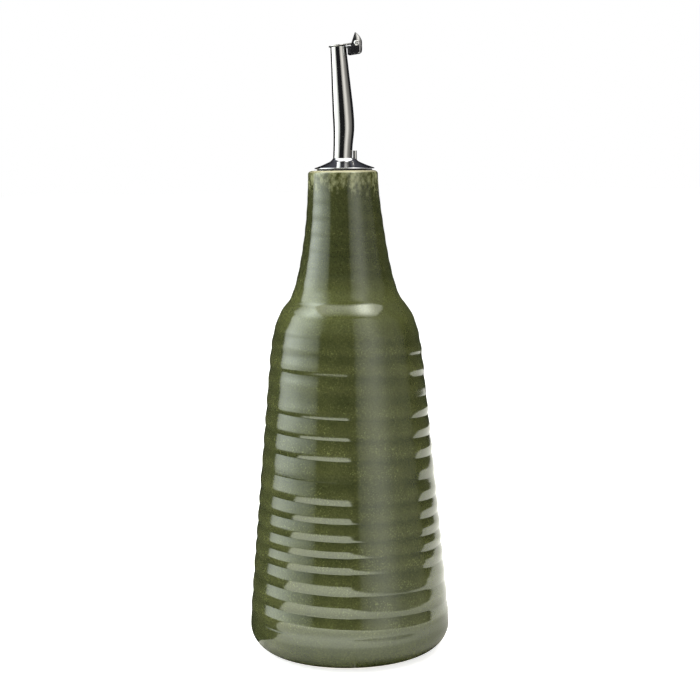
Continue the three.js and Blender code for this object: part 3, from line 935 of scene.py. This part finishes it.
grains = noise(tree, place, GRAIN_SIZE, detail=3, roughness=0.75)
mottle = ranged(tree, grains, (0.3, 0.7), (0.65, 1.35))
neck_share = zone(tree, height_above, NECK_DARKER, (1.0, 0.85), "LINEAR")
mottle = calculate(tree, "MULTIPLY", mottle, neck_share)
green = blend(tree, 1.0, green, mottle, blend_type="MULTIPLY")
grain_share = ranged(tree, grains, (0.57, 0.7))
patches = noise(tree, place, PATCH_SIZE, detail=2)
patch_share = ranged(tree, patches, (0.38, 0.62))
speckle = calculate(tree, "MULTIPLY", grain_share, patch_share)
crest_speckle = calculate(tree, "MULTIPLY_ADD", crest_share, 0.55, 0.2)
speckle = calculate(tree, "MULTIPLY", speckle, crest_speckle)
speckled = blend(tree, speckle, green, SPECKLE_COLOUR)
print("grains of", GRAIN_SIZE, "mm in patches of", PATCH_SIZE, "mm")

# %% [markdown]
# At the top the glaze ran off while it was molten. It left the cream body bare on the rim, and below it a
# ragged zone where grey-green and brown streaks run down. A noise of a few millimetres is added to the
# height, which makes the zone's lower edge ragged, and a second one, drawn out downwards, is the streaks.

# %% Thin glaze under the rim
THIN_ZONE = (213, 221)
THIN_RAGGED = 15  # how far the zone's edge wanders up and down at most
BLOTCH_SIZE = 3.4
STREAK_SIZE = 2.4
STREAK_COLOURS = ("36381A", "767858")
RIM_ZONE = (223.2, 224.2)
RIM_COLOUR = "B5B08F"

blotches = noise(tree, place, BLOTCH_SIZE, detail=6, roughness=0.7, stretch=(1, 1, 0.7))
reach = calculate(tree, "MULTIPLY_ADD", blotches, 2 * THIN_RAGGED * MM, -THIN_RAGGED * MM)
reached = calculate(tree, "ADD", height_above, reach)
thin_share = zone(tree, reached, THIN_ZONE)
streaks = noise(tree, place, STREAK_SIZE, detail=5, roughness=0.65, stretch=(1, 1, 0.6))
streak_share = ranged(tree, streaks, (0.39, 0.61))
streaked = blend(tree, thin_share, speckled, blend(tree, streak_share, *STREAK_COLOURS))
rimmed = blend(tree, zone(tree, height_above, RIM_ZONE), streaked, RIM_COLOUR)
print("the glaze thins out from", THIN_ZONE[0], "mm up")

# %% [markdown]
# The flat base was wiped clean before firing and is bare, matt stoneware. Everywhere else the melt is glossy,
# a little less so in some patches. Three faint bumps break the edges of the reflections: an orange peel, the
# throwing lines that the melt only half levelled, and the grains. A glaze so rich in metal bends light by
# about 1.6, and its reflections are very slightly green.

# %% Base, gloss and surface
BASE_ZONE = (0.5, 0.2)
BASE_COLOUR = "B9AD93"
BASE_ROUGHNESS = 0.8
GLAZE_ROUGHNESS = (0.07, 0.13)
GLAZE_IOR = 1.62
PEEL_SIZE = 2.2
LINE_SPACING = 2.4

bare_share = zone(tree, height_above, BASE_ZONE, kind="LINEAR")
based = blend(tree, bare_share, rimmed, BASE_COLOUR)
gloss = ranged(tree, patches, (0, 1), GLAZE_ROUGHNESS)
gloss = add(tree, "Mix", {"Factor": bare_share, "A": gloss, "B": BASE_ROUGHNESS}).outputs["Result"]
peel = noise(tree, place, PEEL_SIZE, detail=3, roughness=0.55)
lines = noise(tree, place, LINE_SPACING, detail=2, stretch=(0.05, 0.05, 1))
bump = bumped(tree, peel, strength=0.5, depth=0.03)
bump = bumped(tree, lines, strength=0.5, depth=0.05, under=bump)
bump = bumped(tree, grains, strength=0.5, depth=0.018, under=bump)
tree.links.new(based, shader.inputs["Base Color"])
tree.links.new(gloss, shader.inputs["Roughness"])
tree.links.new(bump, shader.inputs["Normal"])
shader.inputs["IOR"].default_value = GLAZE_IOR
shader.inputs["Specular Tint"].default_value = linear("F8FFF6")
print("glaze has", len(tree.nodes), "nodes")

# %% [markdown]
# ## Rubber
#
# The stopper is moulded black rubber, matt with the fine grain of its mould. Half a millimetre is coarser
# than the real grain, which would be too fine to show.

# %% Rubber
RUBBER_GRAIN = 0.5

rubber, tree, shader, place = new_material("moulded black rubber")
grain = noise(tree, place, RUBBER_GRAIN, detail=3)
tree.links.new(ranged(tree, grain, (0, 1), (0.45, 0.7)), shader.inputs["Roughness"])
tree.links.new(bumped(tree, grain, strength=0.4, depth=0.02), shader.inputs["Normal"])
shader.inputs["Base Color"].default_value = linear("141414")
print("rubber has", len(tree.nodes), "nodes")

# %% [markdown]
# ## Steel
#
# The pourer is stainless steel, and each part was finished in its own way. The spout was polished along its
# length, so its grain is stretched upwards. The flange was buffed, and the small parts are tumbled sheet with
# a slightly duller face. Metal has no colour of its own but that of its reflections, so one function with a
# tint, a roughness and a grain serves them all.

# %% Steel
SMEAR_SIZE = 6
STEEL_CONTRAST = 0.88  # how much darker the grain's valleys are than its ridges


def steel(name, colour, roughness, stretch, grain_size):
    """Stainless steel whose fine polishing grain is stretched by a scale along each axis."""
    material, tree, shader, place = new_material(name)
    grain = noise(tree, place, grain_size, detail=4, stretch=stretch)
    smear = noise(tree, place, SMEAR_SIZE, detail=3)
    uneven = calculate(tree, "ADD", grain, smear)
    rough = ranged(tree, uneven, (0.6, 1.4), (roughness * 0.7, roughness * 1.3))
    darker = tuple(STEEL_CONTRAST * c for c in linear(colour)[:3]) + (1.0,)
    face = blend(tree, ranged(tree, grain, (0.3, 0.7)), darker, colour)
    tree.links.new(face, shader.inputs["Base Color"])
    tree.links.new(rough, shader.inputs["Roughness"])
    tree.links.new(bumped(tree, grain, strength=0.2, depth=0.001), shader.inputs["Normal"])
    shader.inputs["Metallic"].default_value = 1.0
    return material


spout_steel = steel("polished drawn stainless steel", "B4B3B0", 0.12, (1, 1, 0.03), 0.35)
flange_steel = steel("buffed pressed stainless steel", "B9BBC0", 0.1, (1, 1, 1), 0.5)
pipe_steel = steel("polished thin steel pipe", "BEBDBA", 0.14, (1, 1, 0.1), 0.3)
box_steel = steel("tumbled folded stainless sheet", "B4B4B4", 0.2, (1, 1, 1), 0.25)
rivet_steel = steel("bright riveted steel", "E8E8E6", 0.36, (1, 1, 1), 0.25)
flap_steel = steel("polished stamped stainless sheet", "C4C4C2", 0.18, (1, 1, 1), 0.3)
print("materials:", [material.name for material in bpy.data.materials])

# %% [markdown]
# ## Every piece on its body
#
# Each new piece takes its finish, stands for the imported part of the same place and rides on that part's
# body, so that the flap swings with its hinge and the rest stays with the bottle.

# %% Dress the parts
DRESSING = [
    (bottle, glaze, "bottle_and_pourer", "bottle", "glazed_stoneware"),
    (stopper, rubber, "bottle_and_pourer", "stopper", "black_rubber"),
    (flange, flange_steel, "bottle_and_pourer", "pourer_flange", "polished_steel"),
    (spout, spout_steel, "bottle_and_pourer", "spout_tube", "spout_steel"),
    (air_pipe, pipe_steel, "bottle_and_pourer", "air_vent", "vent_steel"),
    (hinge_box, box_steel, "bottle_and_pourer", "hinge_bracket", "bracket_steel"),
    (rivet, rivet_steel, "bottle_and_pourer", "hinge_pin", "pin_steel"),
    (flap, flap_steel, "flap", "flap_lid", "flap_steel"),
]
for piece, material, body, node, slot in DRESSING:
    piece.data.materials.clear()
    piece.data.materials.append(material)
    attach(piece, body)
    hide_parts(node)
    print(piece.name, "rides on", body, "for", node)

# %% [markdown]
# ## Floor
#
# The photograph's ground is plain white. A large pale floor carries the bottle, and glows a little, as an
# overexposed ground does. It is left out of reflections, because the bright lobes in the glaze come only from
# what lies close by.

# %% Floor
FLOOR_SIZE = 30
FLOOR_DROP = 0.2
FLOOR_GLOW = 0.7
PAINT_COLOUR = "F4F4F2"


def matt_white(name):
    """A matt white paint with a little light of its own, as an overexposed ground has."""
    material = bpy.data.materials.new(name)
    material.use_nodes = True
    shader = material.node_tree.nodes["Principled BSDF"]
    shader.inputs["Base Color"].default_value = linear(PAINT_COLOUR)
    shader.inputs["Roughness"].default_value = 0.9
    shader.inputs["Specular IOR Level"].default_value = 0.0
    shader.inputs["Emission Color"].default_value = linear("FFFFFF")
    shader.inputs["Emission Strength"].default_value = FLOOR_GLOW
    return material, material.node_tree, shader


bpy.ops.object.select_all(action="DESELECT")
bpy.ops.mesh.primitive_plane_add(size=FLOOR_SIZE, location=(0, 0, -FLOOR_DROP * MM))
floor = name_active("floor")
floor.data.materials.append(matt_white("matt white floor paint")[0])
floor.visible_glossy = False
print("the floor is", FLOOR_SIZE, "m wide")

# %% [markdown]
# What the grooves mirror is a white sheet that ends a hand's breadth from the bottle in some directions and
# far off in others. Its reach is drawn by direction, so that each bright lobe in the glaze begins and ends
# where it does in the photograph. The sheet's glow also varies by direction. Close to the foot, its glow and
# its colour are darkened by a painted shade, which stands in for the bottle's own shadow on the sheet. Both
# are attributes of the vertices.

# %% White sheet
SHEET_REACH = [
    (-180, 46.5), (-90, 46.5), (-87, 48.6), (-80, 58), (-76, 66), (-74, 120), (-72, 190), (-70, 300),
    (-66, 400), (-40, 430), (0, 420), (1.5, 400), (3, 205), (10, 183), (20, 150), (30, 142), (45, 130),
    (60, 128), (80, 140), (90, 155), (97, 200), (101, 400), (110, 700), (118, 1000), (150, 1100),
    (165, 900), (172, 100), (180, 46.5),
]  # how far the white sheet reaches from the axis, for directions in degrees from the camera
SHEET_GLOW = [
    (-180, 0.4), (-140, 0.5), (-115, 1.1), (-95, 1.5), (-75, 1.9), (-60, 2.3), (20, 2.3), (60, 1.35),
    (85, 0.85), (105, 0.58), (130, 0.42), (150, 0.3), (180, 0.3),
]
SHEET_PAINTED_SHADE = [
    (42, 0), (48, 0.32), (57, 0.42), (80, 0.52), (105, 0.76), (150, 1),
]  # which share of its light the painted shade beside the foot leaves, for distances from the axis
SHEET_STEP = 2
SHEET_RINGS = 41
SHEET_CROWDING = 1.6  # above 1 the rings are closer together near the bottle

directions = np.arange(-180, 180, SHEET_STEP)
reaches = np.interp(directions, *np.array(SHEET_REACH).T)
glows = np.interp(directions, *np.array(SHEET_GLOW).T)
rings = np.linspace(0, 1, SHEET_RINGS) ** SHEET_CROWDING
sheet_corners = []
sheet_glow = []
sheet_painted_shade = []
for ring_share in rings:
    for degrees, reach, glow in zip(directions, reaches, glows):
        sheet_corners.append(around(math.radians(degrees), ring_share * reach * MM, 0))
        # painted shade: close to the foot the sheet's glow is dimmed, as if the bottle's shadow fell there
        light_left_by_painted_shade = np.interp(ring_share * reach, *np.array(SHEET_PAINTED_SHADE).T)
        sheet_painted_shade.append(light_left_by_painted_shade)
        sheet_glow.append(glow * light_left_by_painted_shade)
count = len(directions)
sheet_faces = [
    (low + i, low + (i + 1) % count, low + count + (i + 1) % count, low + count + i)
    for low in range(0, (len(rings) - 1) * count, count) for i in range(count)
]
sheet_mesh = bpy.data.meshes.new("white_sheet")
sheet_mesh.from_pydata(sheet_corners, [], sheet_faces)
sheet_mesh.attributes.new("glow", "FLOAT", "POINT").data.foreach_set("value", sheet_glow)
# the attribute open holds the share of light that the painted shade leaves
sheet_mesh.attributes.new("open", "FLOAT", "POINT").data.foreach_set("value", sheet_painted_shade)
sheet = bpy.data.objects.new("white_sheet", sheet_mesh)
bpy.context.collection.objects.link(sheet)
print("the sheet has", len(sheet_faces), "faces")

# %% [markdown]
# Seen directly, the sheet is as white as the floor. Only a glossy ray, which is a reflection in the glaze or
# the steel, meets its drawn glow and its painted shade, which darkens its glow and its colour close to the
# foot.

# %% Paint the sheet
sheet_paint, tree, shader = matt_white("lit white sheet")
mirrored = add(tree, "LightPath").outputs["Is Glossy Ray"]
brightness = add(tree, "Attribute", attribute_name="glow").outputs["Fac"]
glow = add(tree, "Mix", {"Factor": mirrored, "A": FLOOR_GLOW, "B": brightness}).outputs["Result"]
tree.links.new(glow, shader.inputs["Emission Strength"])
tree.links.new(blend(tree, mirrored, "FFFFFF", "FFFDEE"), shader.inputs["Emission Color"])
# painted shade: in reflections the sheet's colour is darkened towards black close to the foot
shade = add(tree, "Attribute", attribute_name="open").outputs["Fac"]
shaded = blend(tree, shade, "000000", PAINT_COLOUR)
tree.links.new(blend(tree, mirrored, PAINT_COLOUR, shaded), shader.inputs["Base Color"])
sheet.data.materials.append(sheet_paint)
print("the sheet's paint has", len(tree.nodes), "nodes")

# %% [markdown]
# ## Light
#
# Two tall diffusers stand left and right of the camera, and one hangs overhead. Their upright stripes in the
# glaze and the steel are what makes both look glossy. On the left a canopy carries on where the diffuser
# ends, up to the ceiling, and is what the sloping shoulder mirrors. Between them, on the camera's side, and
# behind the bottle the studio is dark. They are bent round the bottle, so one azimuth is one edge of a
# stripe. Their glow is drawn by azimuth and by height, because a real diffuser is brighter in front of its
# lamp and fades towards its edges. The camera doesn't see them, only their light and their reflections.

# %% Diffusers
SCREEN_RADIUS = 1.3
SCREEN_STEPS = 64
LEFT_GLOW = [
    (-113, 0), (-112, 1.7), (-109, 2.6), (-104, 3.2), (-97, 3.9), (-81, 3.5), (-67, 2.2), (-53, 1.4),
    (-43, 0.65), (-41, 0),
]  # azimuth in degrees and glow there
LEFT_RISE = [(-0.14, 0), (-0.11, 0.85), (0.2, 0.9), (0.42, 1.35), (0.7, 1.2), (0.9, 1.2)]  # height and share
CANOPY_GLOW = [
    (-128, 0), (-121, 2.2), (-110, 4.2), (-98, 5.8), (-83, 7.0), (-67, 4.8), (-53, 2.2), (-41, 0.5), (-30, 0),
]
CANOPY_RISE = [(0.9, 0.65), (1.4, 1), (3.2, 1), (3.3, 0)]
RIGHT_GLOW = [
    (12, 0), (13.5, 0.55), (20, 0.95), (29, 1.45), (41, 1.75), (53, 1.2), (62, 0.65), (75, 0.42), (90, 0.34),
    (97, 0.25), (104, 0.05), (106, 0),
]
RIGHT_RISE = [(-0.75, 1), (0.5, 1), (1.5, 1.2), (1.7, 0)]


def glowing(piece, glow, colour):
    """Lights a piece by a glow at each vertex, and keeps the piece itself out of the camera's view."""
    piece.data.attributes.new("glow", "FLOAT", "POINT").data.foreach_set("value", np.asarray(glow, float))
    material = bpy.data.materials.new(piece.name + " light")
    material.use_nodes = True
    tree = material.node_tree
    tree.nodes.clear()
    strength = add(tree, "Attribute", attribute_name="glow").outputs["Fac"]
    light = add(tree, "Emission", {"Color": linear(colour), "Strength": strength}).outputs[0]
    add(tree, "OutputMaterial", {"Surface": light})
    piece.data.materials.append(material)
    piece.visible_camera = False
    print(piece.name, "glows up to", round(float(np.max(glow)), 2))


def screen(name, glows, rises, colour):
    """A diffuser bent round the bottle, with its glow drawn along it and up it."""
    first, last = glows[0][0], glows[-1][0]
    edge = [around(math.radians(first), SCREEN_RADIUS, height) for height, _ in rises]
    mesh = bpy.data.meshes.new(name)
    mesh.from_pydata(edge, [(i, i + 1) for i in range(len(edge) - 1)], [])
    piece = bpy.data.objects.new(name, mesh)
    bpy.context.collection.objects.link(piece)
    edit_all(piece)
    bpy.ops.mesh.spin(steps=SCREEN_STEPS, angle=math.radians(first - last), center=(0, 0, 0), axis=(0, 0, 1))
    leave_edit()
    corners = np.array([vertex.co for vertex in piece.data.vertices])
    azimuth = np.degrees(np.arctan2(corners[:, 0], -corners[:, 1]) - CAMERA_AZIMUTH)
    azimuth = (azimuth + 180) % 360 - 180
    along = np.interp(azimuth, *np.array(glows).T)
    upwards = np.interp(corners[:, 2], *np.array(rises).T)
    glowing(piece, along * upwards, colour)


screen("left_diffuser", LEFT_GLOW, LEFT_RISE, "FAFFFC")
screen("left_canopy", CANOPY_GLOW, CANOPY_RISE, "FAFFFC")
screen("right_diffuser", RIGHT_GLOW, RIGHT_RISE, "FFFDF8")

# %% [markdown]
# The overhead diffuser is what the shoulder's top and the flange's cone mirror. It fades towards the camera
# and begins softly behind. Its lamp makes a brighter core on the right, which is the hot spot on the
# shoulder.

# %% Overhead diffuser
OVERHEAD_HEIGHT = 1.6
OVERHEAD_SIZE = (2.2, 2.0)
OVERHEAD_MIDDLE = (0.15, 0.25)  # to the camera's right, and towards the camera
OVERHEAD_GLOW = 2.7
OVERHEAD_STEPS = 40
OVERHEAD_FADE = (0.25, 1.05)  # over which distance towards the camera it fades
OVERHEAD_BACK = (-0.75, -0.2)  # and where it comes up behind
CORE_MIDDLE = (0.62, 0.33)
CORE_WIDTH = 0.34
CORE_GLOW = 7.5

bpy.ops.object.select_all(action="DESELECT")
bpy.ops.mesh.primitive_grid_add(x_subdivisions=OVERHEAD_STEPS, y_subdivisions=OVERHEAD_STEPS, size=1)
overhead = name_active("overhead_diffuser")
right, front = OVERHEAD_MIDDLE
overhead.scale = (*OVERHEAD_SIZE, 1)
overhead.location = (right, -front, OVERHEAD_HEIGHT)
bpy.ops.object.transform_apply(location=True, scale=True)
spots = np.array([vertex.co for vertex in overhead.data.vertices])
core_away = np.hypot(spots[:, 0] - CORE_MIDDLE[0], spots[:, 1] + CORE_MIDDLE[1])
overhead.rotation_euler = (0, 0, CAMERA_AZIMUTH)
bpy.ops.object.transform_apply(rotation=True)
towards_camera = -spots[:, 1]
panel_share = (1 - smoothstep(towards_camera, *OVERHEAD_FADE)) * smoothstep(towards_camera, *OVERHEAD_BACK)
core_share = np.exp(-((core_away / CORE_WIDTH) ** 2))
glowing(overhead, OVERHEAD_GLOW * panel_share + CORE_GLOW * core_share, "FFFDF6")

# %% [markdown]
# The world's light is the rest of the studio. The camera sees it white, as the paper behind the bottle. In
# reflections it is nearly black and a little lighter towards the ceiling, and as soft light it fills the
# shadows a little.

# %% World
FILL_GLOW = 0.35
PAPER_GLOW = 1.0
CEILING_RISE = (0.35, 0.7)  # between these upward shares of a direction the studio gets lighter
CEILING_GLOW = (0.025, 0.17)

world = bpy.data.worlds.new("studio")
bpy.context.scene.world = world
world.use_nodes = True
tree = world.node_tree
tree.nodes.clear()
path = add(tree, "LightPath")
fill = add(tree, "Background", {"Color": linear("FFFFFF"), "Strength": FILL_GLOW}).outputs[0]
upwards = add(tree, "SeparateXYZ", {0: add(tree, "TexCoord").outputs["Generated"]}).outputs["Z"]
ceiling = ranged(tree, upwards, CEILING_RISE, CEILING_GLOW)
dark = add(tree, "Background", {"Color": linear("F0F2FF"), "Strength": ceiling}).outputs[0]
paper = add(tree, "Background", {"Color": linear("FFFFFF"), "Strength": PAPER_GLOW}).outputs[0]
lit = add(tree, "MixShader", {0: path.outputs["Is Glossy Ray"], 1: fill, 2: dark}).outputs[0]
seen = add(tree, "MixShader", {0: path.outputs["Is Camera Ray"], 1: lit, 2: paper}).outputs[0]
add(tree, "OutputWorld", {"Surface": seen})
print("the world has", len(tree.nodes), "nodes")
bpy.context.scene.view_settings.view_transform = "Standard"
